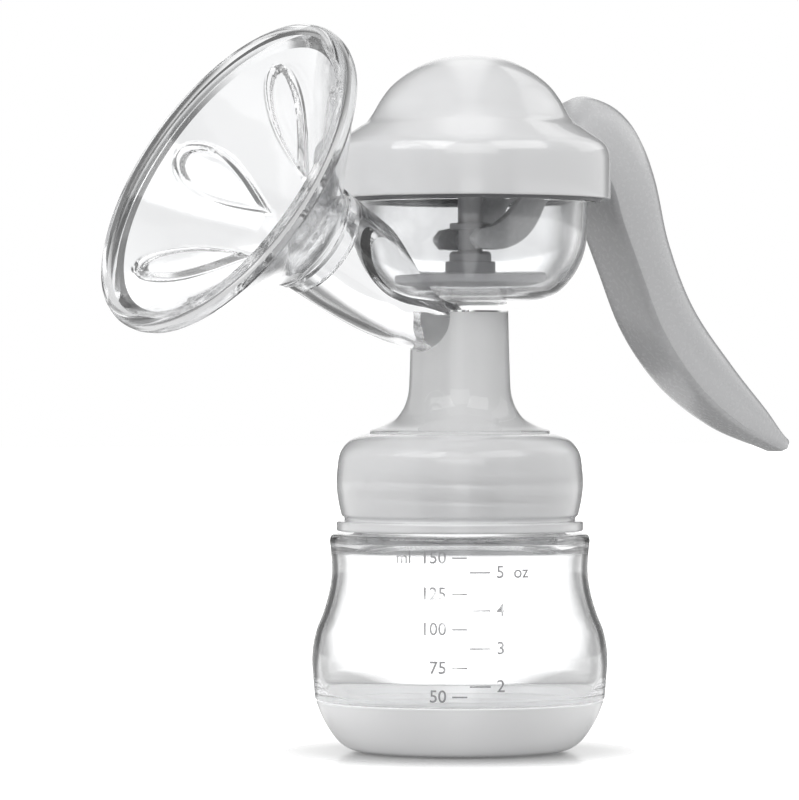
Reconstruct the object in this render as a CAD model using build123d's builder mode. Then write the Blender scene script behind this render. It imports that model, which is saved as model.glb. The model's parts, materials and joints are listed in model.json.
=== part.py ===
from build123d import *
import os
from math import hypot

# Manual breast pump: bottle, pump body with funnel, diaphragm drive and squeeze handle.
# Millimetres. +Z is up, the origin is the middle of the underside of the base, on the
# bottle's axis. The funnel points towards -X and upwards, the handle hangs on the +X side.

os.makedirs("parts", exist_ok=True)

# ---------------------------------------------------------------- driving dimensions
clear_wall = 1.8            # moulded clear walls of the bottle and the funnel
bowl_wall = 1.5             # wall of the diaphragm bowl
running_gap = 0.3           # air between parts that move past each other

bowl_x = 3.8                # the bowl's axis stands this far towards the handle
neck_bore = 4.2             # milk passage above the valve, radius
valve_bore = 10.0           # seat of the valve in the neck, radius
bottle_rim_z = 69.5         # top of the bottle's neck
neck_radius = 24.6          # root of the bottle's neck thread
neck_opening = 22.8         # inside of the bottle's neck
thread_pitch = 4.0

funnel_origin = (0, 0, 96.3)
funnel_direction = (-0.8625, 0, 0.506)
funnel_up = (0.506, 0, 0.8625)
tunnel_rise = 0.8           # the tunnel's axis runs this far above the funnel's

stem_radius = 3.0
flange_z = 124.4            # underside of the collar that the lever's hooks lift
plate_top = 114.0
hook_x = bowl_x + 1.5       # centre of the two lifting pads
hook_z = 122.0
pivot_x = bowl_x + 26.0
pivot_z = 137.5
pin_radius = 1.5
lever_half = 8.8            # half width of the lever inside the cap's slot
cheek_inner = 6.3
slot_half = 9.4
cap_radius = 33.6
cap_bottom = 131.6

bowl_plane = Plane(origin=(bowl_x, 0, 0), x_dir=(1, 0, 0), z_dir=(0, -1, 0))
bowl_axis = Axis((bowl_x, 0, 0), (0, 0, 1))
funnel_plane = Plane(origin=funnel_origin, x_dir=funnel_up, z_dir=(0, -1, 0))
funnel_axis = Axis(funnel_origin, funnel_direction)
tunnel_origin = tuple(o + tunnel_rise * u for o, u in zip(funnel_origin, funnel_up))
tunnel_plane = Plane(origin=tunnel_origin, x_dir=funnel_up, z_dir=(0, -1, 0))
tunnel_axis = Axis(tunnel_origin, funnel_direction)


def inset(points, depth):
    """The same line moved by depth to the left of its direction; a point on the axis stays on it."""
    moved = []
    for i, (x, y) in enumerate(points):
        x0, y0 = points[max(i - 1, 0)]
        x1, y1 = points[min(i + 1, len(points) - 1)]
        length = hypot(x1 - x0, y1 - y0)
        shift = 0 if x == 0 else -depth * (y1 - y0) / length
        moved.append((x + shift, y + depth * (x1 - x0) / length))
    return moved


def turned(outline, plane=Plane.XZ, axis=Axis.Z):
    """A solid of revolution from a closed outline of straight sides."""
    with BuildPart() as body:
        with BuildSketch(plane):
            with BuildLine():
                Polyline(*outline, close=True)
            make_face()
        revolve(axis=axis)
    return body.part


def turned_smooth(line, ends, plane=Plane.XZ, axis=Axis.Z):
    """A solid of revolution between a smooth line and the straight sides named in ends."""
    with BuildPart() as body:
        with BuildSketch(plane):
            with BuildLine():
                Spline(*line)
                Polyline(line[-1], *ends, line[0])
            make_face()
        revolve(axis=axis)
    return body.part


def thread_ridge(root, crest, start_z, turns, inward=False):
    """One helical ridge from the radius root out, or in, to crest."""
    sign = -1 if inward else 1
    height = abs(crest - root)
    with BuildPart() as ridge:
        with BuildLine():
            path = Helix(pitch=thread_pitch, height=turns * thread_pitch, radius=root, center=(0, 0, start_z))
        with BuildSketch(Plane(origin=path @ 0, x_dir=(1, 0, 0), z_dir=path % 0)):
            with BuildLine():
                Polyline(
                    (-sign * 0.5, -1.0), (0, -1.0), (sign * height, -0.35),
                    (sign * height, 0.35), (0, 1.0), (-sign * 0.5, 1.0), close=True,
                )
            make_face()
        sweep(path=path, is_frenet=True)
    return ridge.part


def save(piece, label):
    piece.part.label = label
    export_step(piece.part, f"parts/{label}.step")


# ---------------------------------------------------------------- white screw-on base
base_outside = [(24.5, 0), (27.2, 0.9), (29.6, 2.9), (31.6, 5.7), (33.1, 8.6), (34.4, 12.0)]
base_ledge_z = 6.6
base_bore = 30.6
vent_hole_circle = 12.0

with BuildPart() as bottle_base:
    add(turned_smooth(
        base_outside,
        [(base_bore, 12.0), (base_bore, base_ledge_z), (27.5, base_ledge_z), (26.4, 2.4), (0, 2.4),
         (0, 0), (6.0, 0), (6.5, 0.9), (21.5, 0.9), (22.0, 0)],
    ))
    with BuildSketch():
        with PolarLocations(vent_hole_circle, 8):
            Circle(0.8)
    extrude(amount=5, mode=Mode.SUBTRACT)
save(bottle_base, "bottle_base")

# ---------------------------------------------------------------- silicone vent valve in the base
with BuildPart() as vent_valve:
    with BuildSketch(Plane.XZ):
        with BuildLine():
            Polyline(
                (0, 4.0), (6.0, 4.0), (8.0, 4.8), (24.0, 4.8), (26.0, 6.62), (30.2, 6.62),
                (30.2, 8.0), (25.6, 8.0), (23.4, 6.0), (8.0, 6.0), (6.0, 5.2), (0, 5.2), close=True,
            )
        make_face()
    revolve(axis=Axis.Z)
save(vent_valve, "vent_valve")

# ---------------------------------------------------------------- bottle
bottle_outside = [
    (34.6, 12.4), (35.0, 17.0), (35.3, 22.5), (34.5, 28.1), (32.6, 33.2), (31.2, 38.2),
    (30.6, 43.0), (30.8, 47.4), (31.1, 50.2),
]
bottle_inside = inset(bottle_outside, clear_wall)
spigot_radius = 29.6
spigot_bore = 27.4
spigot_end = 8.1

with BuildPart() as bottle:
    with BuildSketch(Plane.XZ):
        with BuildLine():
            side = Spline(*bottle_outside)
            corner = RadiusArc(side @ 1, (29.8, 51.8), -1.6)
            Polyline(corner @ 1, (neck_radius + 0.8, 51.8), (neck_radius, 52.6), (neck_radius, 69.0),
                     (neck_radius - 0.5, bottle_rim_z), (neck_opening, bottle_rim_z),
                     (neck_opening, 51.4), (neck_opening + 1.2, 50.0), (28.2, 50.0), bottle_inside[-2])
            Spline(*bottle_inside[1:-1])
            Polyline(bottle_inside[1], (32.7, 14.2), (spigot_bore, 13.2), (spigot_bore, spigot_end),
                     (spigot_radius, spigot_end), (spigot_radius, 12.4), side @ 0)
        make_face()
    revolve(axis=Axis.Z)
    add(thread_ridge(neck_radius, neck_radius + 1.4, 57.6, 1.75))
save(bottle, "bottle")

# ---------------------------------------------------------------- flat sealing ring on the bottle's rim
with BuildPart() as bottle_gasket:
    add(turned([(20.2, 69.6), (25.2, 69.6), (25.2, 71.1), (20.2, 71.1)]))
save(bottle_gasket, "bottle_gasket")

# ---------------------------------------------------------------- translucent screw collar
collar_outside = [
    (28.3, 56.2), (29.05, 59.6), (29.5, 63.4), (29.3, 67.3), (28.6, 71.2),
    (26.7, 73.8), (24.6, 75.0), (22.3, 75.7),
]
collar_bore = neck_radius + 1.8

with BuildPart() as screw_collar:
    with BuildSketch(Plane.XZ):
        with BuildLine():
            Spline(*collar_outside)
            Polyline(collar_outside[-1], (21.9, 75.4), (21.9, 73.4), (25.6, 73.4), (collar_bore, 72.4),
                     (collar_bore, 52.4), (29.2, 52.4), (29.5, 52.7), (29.5, 54.5), (29.2, 54.8),
                     (27.6, 54.9), (27.6, 55.6), collar_outside[0])
        make_face()
    revolve(axis=Axis.Z)
    add(thread_ridge(collar_bore, neck_radius + 0.4, 57.6 + thread_pitch / 2, 1.5, inward=True))
save(screw_collar, "screw_collar")

# ---------------------------------------------------------------- clear pump body
neck_outside = [
    (21.7, 76.3), (18.3, 77.6), (15.2, 79.4), (13.6, 81.5), (12.7, 83.6), (12.2, 86.0),
    (12.0, 90.0), (11.8, 96.0), (11.6, 105.0),
]
bowl_outside = [
    (0, 106.0), (8.1, 106.1), (12.6, 106.6), (16.1, 107.2), (18.9, 108.2), (21.1, 109.5),
    (23.6, 112.0), (25.8, 115.3), (27.3, 119.3), (28.0, 124.0), (28.25, 130.7),
]
tunnel_outside = [
    (6.6, 5.0), (8.2, 11.5), (10.1, 18.0), (11.5, 25.0), (12.2, 31.0), (12.8, 40.0), (13.2, 50.0),
]
funnel_outside = [
    (13.2, 49.5), (14.2, 52.5), (17.4, 56.0), (23.2, 60.8), (30.0, 66.2), (35.8, 71.4), (39.6, 75.0),
]
tunnel_inside = [
    (neck_bore, 2.0), (4.9, 8.0), (6.6, 14.0), (8.4, 20.0), (9.7, 27.0), (10.4, 35.0), (10.8, 45.5),
]
bowl_inside = inset(bowl_outside, bowl_wall)
funnel_inside = inset(funnel_outside, clear_wall)
sleeve_bore = 11.2          # seat of the cushion's tube in the tunnel
sleeve_end = 45.5

with BuildPart() as pump_body:
    add(turned_smooth(neck_outside, [(0, 105.0), (0, 71.4), (22.3, 71.4), (22.6, 71.8), (22.6, 72.6),
                                     (21.5, 73.2), (21.5, 76.1)]))
    add(turned_smooth(bowl_outside, [(30.2, 130.7), (30.2, 131.6), (0, 131.6)],
                      bowl_plane, bowl_axis))
    add(turned_smooth(tunnel_outside, [(0, 50.0), (0, 5.0)], tunnel_plane, tunnel_axis))
    add(turned_smooth(funnel_outside, [(0, 74.4), (0, 49.5)], funnel_plane, funnel_axis))
    add(turned_smooth(bowl_inside, [(bowl_inside[-1][0], 132.0), (0, 132.0)],
                      bowl_plane, bowl_axis), mode=Mode.SUBTRACT)
    add(turned([(0, 71.0), (19.6, 71.0), (19.6, 75.4), (15.9, 77.0), (12.6, 79.0), (11.0, 81.4),
                (valve_bore, 84.0), (valve_bore, 89.5), (0, 89.5)]), mode=Mode.SUBTRACT)
    add(turned([(0, 89.0), (neck_bore, 89.0), (neck_bore, 102.6), (0, 102.6)]), mode=Mode.SUBTRACT)
    add(turned_smooth(tunnel_inside, [(0, tunnel_inside[-1][1]), (0, 2.0)],
                      tunnel_plane, tunnel_axis), mode=Mode.SUBTRACT)
    add(turned([(0, sleeve_end), (sleeve_bore, sleeve_end), (sleeve_bore, 52.0), (0, 52.0)],
               funnel_plane, funnel_axis), mode=Mode.SUBTRACT)
    add(turned_smooth(funnel_inside, [(42.0, funnel_inside[-1][1] + 3.0), (0, funnel_inside[-1][1] + 3.0),
                                      (0, funnel_inside[0][1])],
                      funnel_plane, funnel_axis), mode=Mode.SUBTRACT)
    # air port between the milk passage and the bowl
    with BuildSketch(Plane.XY.offset(102.0)):
        Circle(1.6)
    extrude(amount=8, mode=Mode.SUBTRACT)
save(pump_body, "pump_body")

# ---------------------------------------------------------------- duckbill valve in the neck
with BuildPart() as duckbill_valve:
    add(turned([(0, 73.0), (7.6, 73.0), (7.6, 76.0), (valve_bore - 0.05, 84.0),
                (valve_bore - 0.05, 89.4), (0, 89.4)]))
    with BuildSketch(Plane.XY.offset(73.0)):
        Circle(7.6)
    with BuildSketch(Plane.XY.offset(61.0)):
        Ellipse(7.2, 1.4)
    loft()
    add(turned([(0, 74.0), (6.2, 74.0), (6.6, 77.0), (8.5, 84.0), (8.5, 90.0), (0, 90.0)]),
        mode=Mode.SUBTRACT)
    with BuildSketch(Plane.XY.offset(74.0)):
        Circle(6.2)
    with BuildSketch(Plane.XY.offset(61.0)):
        Ellipse(5.6, 0.3)
    loft(mode=Mode.SUBTRACT)
save(duckbill_valve, "duckbill_valve")

# ---------------------------------------------------------------- silicone massage cushion
cushion_wall = 1.8
tube_bore = 9.4
cushion_back = [(sleeve_bore - 0.15, 50.0)] + inset(funnel_inside[1:], 0.3)
cushion_front = [(tube_bore, 51.0)] + inset(funnel_inside[1:], 0.3 + cushion_wall)

with BuildPart() as massage_cushion:
    with BuildSketch(funnel_plane):
        with BuildLine():
            back = Spline(*cushion_back)
            Polyline(back @ 1, (38.8, 77.0), (40.1, 76.6), (40.1, 74.8), (40.8, 74.8))
            RadiusArc((40.8, 74.8), (40.1, 78.9), -2.8)
            Line((40.1, 78.9), cushion_front[-1])
            front = Spline(*reversed(cushion_front))
            Polyline(front @ 1, (tube_bore, sleeve_end + 0.2), (sleeve_bore - 0.15, sleeve_end + 0.2), back @ 0)
        make_face()
    revolve(axis=funnel_axis)
save(massage_cushion, "massage_cushion")

# ---------------------------------------------------------------- silicone diaphragm in the bowl
diaphragm_outside = inset(bowl_outside, bowl_wall + running_gap)
diaphragm_inside = inset(bowl_outside, bowl_wall + running_gap + 1.0)

with BuildPart() as diaphragm:
    with BuildSketch(bowl_plane):
        with BuildLine():
            Spline(*diaphragm_outside)
            Polyline(diaphragm_outside[-1], (diaphragm_outside[-1][0], 131.65), (30.0, 131.65),
                     (30.0, 133.2), (diaphragm_inside[-1][0], 133.2), diaphragm_inside[-1])
            Spline(*diaphragm_inside)
            Line(diaphragm_inside[0], diaphragm_outside[0])
        make_face()
    revolve(axis=bowl_axis)
save(diaphragm, "diaphragm")

# ---------------------------------------------------------------- snap ring over the diaphragm, with the pivot ears
ear_inner = lever_half + running_gap
ear_outer = ear_inner + 2.3

with BuildPart() as retaining_ring:
    add(turned([(29.3, 129.9), (31.1, 129.9), (31.1, 134.9), (26.7, 134.9), (26.7, 133.3),
                (30.25, 133.3), (30.25, 130.6), (29.3, 130.6)], bowl_plane, bowl_axis))
    # gap for the lever
    with BuildSketch(Plane.XY.offset(133.3)):
        with Locations((bowl_x + 28.0, 0)):
            Rectangle(14.0, 2 * ear_inner)
    extrude(amount=3.0, mode=Mode.SUBTRACT)
    for side_sign in (-1, 1):
        face_y = ear_outer if side_sign > 0 else -ear_inner
        with BuildSketch(Plane(origin=(0, face_y, 0), x_dir=(1, 0, 0), z_dir=(0, -1, 0))):
            with Locations((pivot_x, pivot_z)):
                Circle(3.0)
            with Locations((pivot_x + 0.45, 135.5)):
                Rectangle(4.6, 4.0)
        extrude(amount=ear_outer - ear_inner)
    with BuildSketch(Plane.XZ):
        with Locations((pivot_x, pivot_z)):
            Circle(pin_radius)
    extrude(amount=14, both=True, mode=Mode.SUBTRACT)
save(retaining_ring, "retaining_ring")

# ---------------------------------------------------------------- hinge pin
with BuildPart() as pivot_pin:
    with BuildSketch(Plane.XZ):
        with Locations((pivot_x, pivot_z)):
            Circle(pin_radius)
    extrude(amount=ear_outer, both=True)
    chamfer(pivot_pin.edges(), 0.3)
save(pivot_pin, "pivot_pin")

# ---------------------------------------------------------------- piston plate and stem
with BuildPart() as piston_plate:
    add(turned([(0, 110.2), (14.2, 110.2), (18.2, 112.1), (18.2, plate_top), (6.0, plate_top), (6.0, 116.7),
                (5.05, 116.7), (5.05, plate_top), (0, plate_top)], bowl_plane, bowl_axis))
save(piston_plate, "piston_plate")

with BuildPart() as pump_stem:
    add(turned([(0, 114.02), (4.6, 114.02), (5.0, 114.8), (5.0, 118.6), (4.4, 119.2), (2.9, 119.2),
                (2.9, flange_z), (4.95, flange_z), (4.95, 126.0), (stem_radius, 126.0),
                (stem_radius, 149.4), (2.4, 150.0), (0, 150.0)], bowl_plane, bowl_axis))
save(pump_stem, "pump_stem")

# ---------------------------------------------------------------- dome cap with the lever's slot and the stem's guide
cap_outside = [
    (cap_radius, 141.0), (32.9, 144.0), (30.2, 146.7), (27.2, 148.8), (24.8, 150.3), (23.4, 152.2),
    (21.5, 155.5), (19.2, 158.6), (16.1, 161.3), (12.4, 163.6), (8.1, 165.3), (0, 166.4),
]
cap_inside = inset(cap_outside, clear_wall)
guide_bore = stem_radius + 0.08
guide_radius = 4.5

with BuildPart() as dome_cap:
    with BuildSketch(bowl_plane):
        with BuildLine():
            Line((cap_radius, cap_bottom), cap_outside[0])
            Spline(*cap_outside)
            Line(cap_outside[-1], cap_inside[-1])
            Spline(*cap_inside)
            Polyline(cap_inside[0], (cap_radius - clear_wall, cap_bottom), (cap_radius, cap_bottom))
        make_face()
    revolve(axis=bowl_axis)
    # ledge that rests on the ring
    add(turned([(30.0, 135.1), (32.4, 135.1), (32.4, 136.9), (31.2, 136.9)], bowl_plane, bowl_axis))
    with BuildSketch(Plane.XY.offset(135.0)):
        with Locations((bowl_x + 28.0, 0)):
            Rectangle(7.4, 25.6)
    extrude(amount=2.2, mode=Mode.SUBTRACT)
    # slot for the lever, open at the bottom
    with BuildSketch(Plane.YZ.offset(bowl_x + 8.0)):
        with Locations((0, 144.0)):
            RectangleRounded(2 * slot_half, 26.0, 3.0)
        with Locations((0, 136.0)):
            Rectangle(2 * slot_half, 12.0)
    extrude(amount=30, mode=Mode.SUBTRACT)
    add(turned([(guide_bore, 139.0), (guide_radius, 139.0), (guide_radius, 164.9), (guide_bore, 164.9)],
               bowl_plane, bowl_axis))
save(dome_cap, "dome_cap")

# ---------------------------------------------------------------- squeeze handle: hooks, pivot barrel and grip
grip_inner = [
    (40.4, 129.5), (43.4, 123.0), (46.2, 116.5), (50.4, 107.0), (54.6, 99.4), (59.9, 92.2),
    (66.2, 86.2), (73.6, 81.3), (81.3, 77.0), (89.1, 73.7), (97.2, 71.2),
]
grip_outer = [
    (97.6, 74.4), (92.6, 80.8), (81.2, 92.8), (68.6, 107.4), (60.6, 122.5), (55.8, 138.6),
    (51.0, 149.0), (44.4, 155.4), (36.0, 157.6), (28.6, 153.8), (24.8, 147.0),
]
hook_lower = [(-0.2, 119.7), (4.0, 119.5), (8.2, 120.1), (12.4, 121.9), (16.2, 125.4), (19.6, 131.0)]
hook_upper = [(24.8, 147.0), (19.0, 141.0), (14.0, 134.6), (9.0, 128.8), (4.4, 125.6), (-0.2, 124.5)]
hook_round = (-1.9, 122.1)

with BuildPart() as squeeze_handle:
    with BuildSketch(Plane.XZ):
        with BuildLine():
            Spline(*hook_lower)
            Polyline(hook_lower[-1], (22.4, 133.6), (27.0, 134.2), (31.6, 134.2), (34.4, 135.4), (36.6, 137.2),
                     (38.4, 136.4), grip_inner[0])
            Spline(*grip_inner)
            ThreePointArc(grip_inner[-1], (98.9, 72.5), grip_outer[0])
            Spline(*grip_outer)
            Spline(*hook_upper)
            ThreePointArc(hook_upper[-1], hook_round, hook_lower[0])
        make_face()
    extrude(amount=lever_half, both=True)
    # plan shape: the grip narrows to its tip
    with BuildSketch(Plane.XY.offset(60.0)):
        with BuildLine():
            half_plan = [(60.0, lever_half), (72.0, 8.3), (84.0, 7.0), (94.0, 5.4)]
            Line((-8.0, lever_half), half_plan[0])
            Spline(*half_plan)
            ThreePointArc((94.0, 5.4), (100.2, 0), (94.0, -5.4))
            Spline(*[(x, -y) for x, y in reversed(half_plan)])
            Polyline((60.0, -lever_half), (-8.0, -lever_half), (-8.0, lever_half))
        make_face()
    extrude(amount=110, mode=Mode.INTERSECT)
    # space between the two hook cheeks
    with BuildSketch(Plane.XZ):
        with Locations((8.0, 134.0)):
            Rectangle(35.0, 40.0)
    extrude(amount=cheek_inner, both=True, mode=Mode.SUBTRACT)
    # lifting pads under the stem's collar
    for side_sign in (-1, 1):
        pad_y = cheek_inner if side_sign > 0 else -3.2
        with BuildSketch(Plane(origin=(0, pad_y, 0), x_dir=(1, 0, 0), z_dir=(0, -1, 0))):
            with Locations((hook_x, hook_z)):
                Circle(2.25)
        extrude(amount=cheek_inner - 3.2)
    with BuildSketch(Plane.XZ):
        with Locations((pivot_x, pivot_z)):
            Circle(pin_radius + 0.06)
    extrude(amount=12, both=True, mode=Mode.SUBTRACT)
    # hollow of the grip, open towards the bottle
    with BuildSketch(Plane.XZ):
        with BuildLine():
            pocket_back = inset(grip_outer, 2.2)[1:9]
            pocket_mouth = [(42.0, 121.0), (53.0, 97.0), (65.4, 83.4), (80.0, 74.5), (88.0, 71.5)]
            Spline(*pocket_back)
            Polyline(pocket_back[-1], (38.4, 150.0), (41.0, 134.0), pocket_mouth[0])
            Polyline(*pocket_mouth)
            Line(pocket_mouth[-1], pocket_back[0])
        make_face()
    extrude(amount=4.4, both=True, mode=Mode.SUBTRACT)
save(squeeze_handle, "squeeze_handle")

# ---------------------------------------------------------------- cover that closes the grip's hollow
with BuildPart() as handle_cover:
    with BuildSketch(Plane.XZ):
        with BuildLine():
            cover_face = grip_inner[1:-2]
            cover_back = inset(cover_face, 1.5)
            Spline(*cover_face)
            Line(cover_face[-1], cover_back[-1])
            Spline(*reversed(cover_back))
            Line(cover_back[0], cover_face[0])
        make_face()
    extrude(amount=4.3, both=True)
save(handle_cover, "handle_cover")
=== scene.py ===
import json
from math import cos, hypot, pi, radians, sin

import bmesh
import bpy
from mathutils import Matrix, Vector


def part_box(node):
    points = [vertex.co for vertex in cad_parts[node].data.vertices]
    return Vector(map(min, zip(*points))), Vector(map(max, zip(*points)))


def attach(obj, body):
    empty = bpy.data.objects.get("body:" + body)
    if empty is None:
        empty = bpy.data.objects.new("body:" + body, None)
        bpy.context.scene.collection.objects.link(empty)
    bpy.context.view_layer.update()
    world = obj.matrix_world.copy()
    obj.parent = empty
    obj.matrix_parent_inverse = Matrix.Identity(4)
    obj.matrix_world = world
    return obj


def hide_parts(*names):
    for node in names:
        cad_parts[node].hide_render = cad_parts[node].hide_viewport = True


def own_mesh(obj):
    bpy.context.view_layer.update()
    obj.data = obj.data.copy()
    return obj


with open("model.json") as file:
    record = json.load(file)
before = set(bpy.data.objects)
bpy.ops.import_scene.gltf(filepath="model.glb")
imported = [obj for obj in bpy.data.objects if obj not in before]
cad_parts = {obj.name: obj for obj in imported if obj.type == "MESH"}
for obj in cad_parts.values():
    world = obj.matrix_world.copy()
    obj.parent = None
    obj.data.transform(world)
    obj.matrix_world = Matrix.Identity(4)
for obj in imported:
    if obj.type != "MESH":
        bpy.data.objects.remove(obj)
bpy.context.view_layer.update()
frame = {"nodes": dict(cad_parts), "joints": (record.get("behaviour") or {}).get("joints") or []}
nodes = frame["nodes"]
print("frame loaded:", len(nodes), "nodes")

mm = 0.001
tiny = 1e-6
weldGap = 1e-5
edgeAngle = 32  # edges sharper than this, in degrees, stay crisp
joints = {joint["name"]: joint for joint in frame["joints"]}

# axes that the pieces are turned about, from the frame; outlines are in mm
capLow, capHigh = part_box("dome_cap")
bowlX = (capLow.x + capHigh.x) / 2
funnelDirection = Vector(joints["cushion_pull"]["axis"]).normalized()
funnelUp = Vector((funnelDirection.z, 0, -funnelDirection.x))
funnelHeight = 0.0963
tunnelRise = 0.8


def placedAt(origin, along, side):
    # the placing of a turned piece: its Z runs along, its X to the side
    across = along.cross(side)
    turn = Matrix((side, across, along)).transposed().to_4x4()
    return Matrix.Translation(origin) @ turn


upright = Matrix()
bowlPlace = Matrix.Translation((bowlX, 0, 0))
funnelPlace = placedAt(Vector((0, 0, funnelHeight)), funnelDirection, funnelUp)
tunnelPlace = placedAt(Vector((0, 0, funnelHeight)) + funnelUp * tunnelRise * mm, funnelDirection,
                       funnelUp)


# ---- outlines

def smooth(points, spans=6):
    # a smooth line through the points, with the same number of steps between each two
    line = []
    for i in range(len(points) - 1):
        before = Vector(points[max(i - 1, 0)])
        start, end = Vector(points[i]), Vector(points[i + 1])
        after = Vector(points[min(i + 2, len(points) - 1)])
        reach = (end - start).length
        leave = (end - before).normalized() * reach
        arrive = (after - start).normalized() * reach
        for step in range(spans):
            t = step / spans
            line.append(tuple(
                start * (2 * t**3 - 3 * t**2 + 1) + leave * (t**3 - 2 * t**2 + t)
                + end * (3 * t**2 - 2 * t**3) + arrive * (t**3 - t**2)
            ))
    return line + [tuple(points[-1])]


def inset(points, depth):
    # the same line moved to its left; a point on the axis stays on it
    moved = []
    for i, (x, y) in enumerate(points):
        x0, y0 = points[max(i - 1, 0)]
        x1, y1 = points[min(i + 1, len(points) - 1)]
        length = hypot(x1 - x0, y1 - y0)
        shift = 0 if x == 0 else -depth * (y1 - y0) / length
        moved.append((x + shift, y + depth * (x1 - x0) / length))
    return moved


def rounded(loop, radius, steps=4, sharpest=20):
    # a closed outline whose corners are eased; points on the axis stay
    eased = []
    for i, corner in enumerate(loop):
        before, here, after = Vector(loop[i - 1]), Vector(corner), Vector(loop[(i + 1) % len(loop)])
        come, go = here - before, after - here
        onAxis = min(corner[0], come.length, go.length) < tiny
        if onAxis or abs(come.angle(go)) < radians(sharpest):
            eased.append(tuple(corner))
            continue
        first = here - come.normalized() * min(radius, come.length * 0.45)
        last = here + go.normalized() * min(radius, go.length * 0.45)
        for step in range(steps + 1):
            t = step / steps
            eased.append(tuple(first * (1 - t)**2 + here * 2 * t * (1 - t) + last * t**2))
    return eased


def closed(line):
    # a line of (radius, height) shut off along the axis
    return line + [(0, line[-1][1]), (0, line[0][1])]


def widthAt(line, height):
    # the value of a line of (height, value) at a height
    for (low, first), (high, last) in zip(line, line[1:]):
        if low <= height <= high:
            return first + (last - first) * (height - low) / (high - low)
    return line[0][1] if height < line[0][0] else line[-1][1]


# ---- mesh work

def finishMesh(name, shape, place, sharp=edgeAngle):
    # a bmesh in mm becomes an object in metres at its place, smooth but for its sharp edges
    bmesh.ops.remove_doubles(shape, verts=shape.verts, dist=weldGap)
    bmesh.ops.recalc_face_normals(shape, faces=shape.faces)
    mesh = bpy.data.meshes.new(name)
    shape.to_mesh(mesh)
    shape.free()
    mesh.transform(place @ Matrix.Scale(mm, 4))
    mesh.shade_smooth()
    mesh.set_sharp_from_angle(angle=radians(sharp))
    piece = bpy.data.objects.new(name, mesh)
    bpy.context.scene.collection.objects.link(piece)
    return piece


def turned(name, loop, place=upright, steps=192, shift=None, sharp=edgeAngle):
    # a closed outline of (radius, height) turned once round; shift may move each point
    shape = bmesh.new()
    rings = []
    for index, (radius, height) in enumerate(loop):
        if radius < tiny:
            rings.append([shape.verts.new((0, 0, height))] * steps)
            continue
        ring = []
        for i in range(steps):
            angle = 2 * pi * i / steps
            r, h = shift(index, radius, height, angle) if shift else (radius, height)
            ring.append(shape.verts.new((r * cos(angle), r * sin(angle), h)))
        rings.append(ring)
    for low, high in zip(rings, rings[1:] + rings[:1]):
        for i in range(steps):
            j = (i + 1) % steps
            corners = list(dict.fromkeys([low[i], low[j], high[j], high[i]]))
            if len(corners) > 2:
                shape.faces.new(corners)
    return finishMesh(name, shape, place, sharp)


def rod(name, radius, low, high, place, steps):
    # a plain round bar
    return turned(name, [(0, low), (radius, low), (radius, high), (0, high)], place, steps)


def plate(name, outline, lowY, highY, ease=0.3):
    # an outline of (x, z), counterclockwise, made thick between two values of y, with eased edges
    shape = bmesh.new()
    wrap = [outline[-1]] + list(outline) + [outline[0]]
    rings = []
    for y, shrink in ((lowY, ease), (lowY + 0.3 * ease, 0.3 * ease), (lowY + ease, 0),
                      (highY - ease, 0), (highY - 0.3 * ease, 0.3 * ease), (highY, ease)):
        rings.append([shape.verts.new((x, y, z)) for x, z in inset(wrap, shrink)[1:-1]])
    for low, high in zip(rings, rings[1:]):
        for i in range(len(outline)):
            j = (i + 1) % len(outline)
            shape.faces.new([low[i], low[j], high[j], high[i]])
    shape.faces.new(rings[0])
    shape.faces.new(list(reversed(rings[-1])))
    bmesh.ops.triangulate(shape, faces=[face for face in shape.faces if len(face.verts) > 4])
    return finishMesh(name, shape, upright)


def roundPlate(name, centre, radius, lowY, highY, ease=0.0, foot=(), count=36):
    # a disc across Y, or with a foot an ear that stands on it
    start, sweep = (-20, 220) if foot else (0, 360)
    points = []
    for i in range(count + 1 if foot else count):
        angle = radians(start + sweep * i / count)
        points.append((centre[0] + radius * cos(angle), centre[1] + radius * sin(angle)))
    return plate(name, points + list(foot), lowY, highY, ease)


def applied(piece):
    # the piece with its modifiers worked into its mesh
    view = bpy.context.evaluated_depsgraph_get()
    mesh = bpy.data.meshes.new_from_object(piece.evaluated_get(view))
    piece.modifiers.clear()
    piece.data = mesh
    return piece


def combine(piece, others, operation):
    # adds or cuts the other solids, which are used up
    for other in others:
        step = piece.modifiers.new(operation, "BOOLEAN")
        step.operation = operation
        step.solver = "MANIFOLD"
        step.object = other
    applied(piece)
    for other in others:
        bpy.data.objects.remove(other)
    piece.data.shade_smooth()
    piece.data.set_sharp_from_angle(angle=radians(edgeAngle))


# ---- shader maths

class Wire:
    # a socket that can stand in a sum
    def __init__(self, shader, socket):
        self.shader = shader
        self.socket = socket

    def __add__(self, other):
        return self.shader.math("ADD", self, other)

    def __mul__(self, other):
        return self.shader.math("MULTIPLY", self, other)

    __radd__ = __add__


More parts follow.
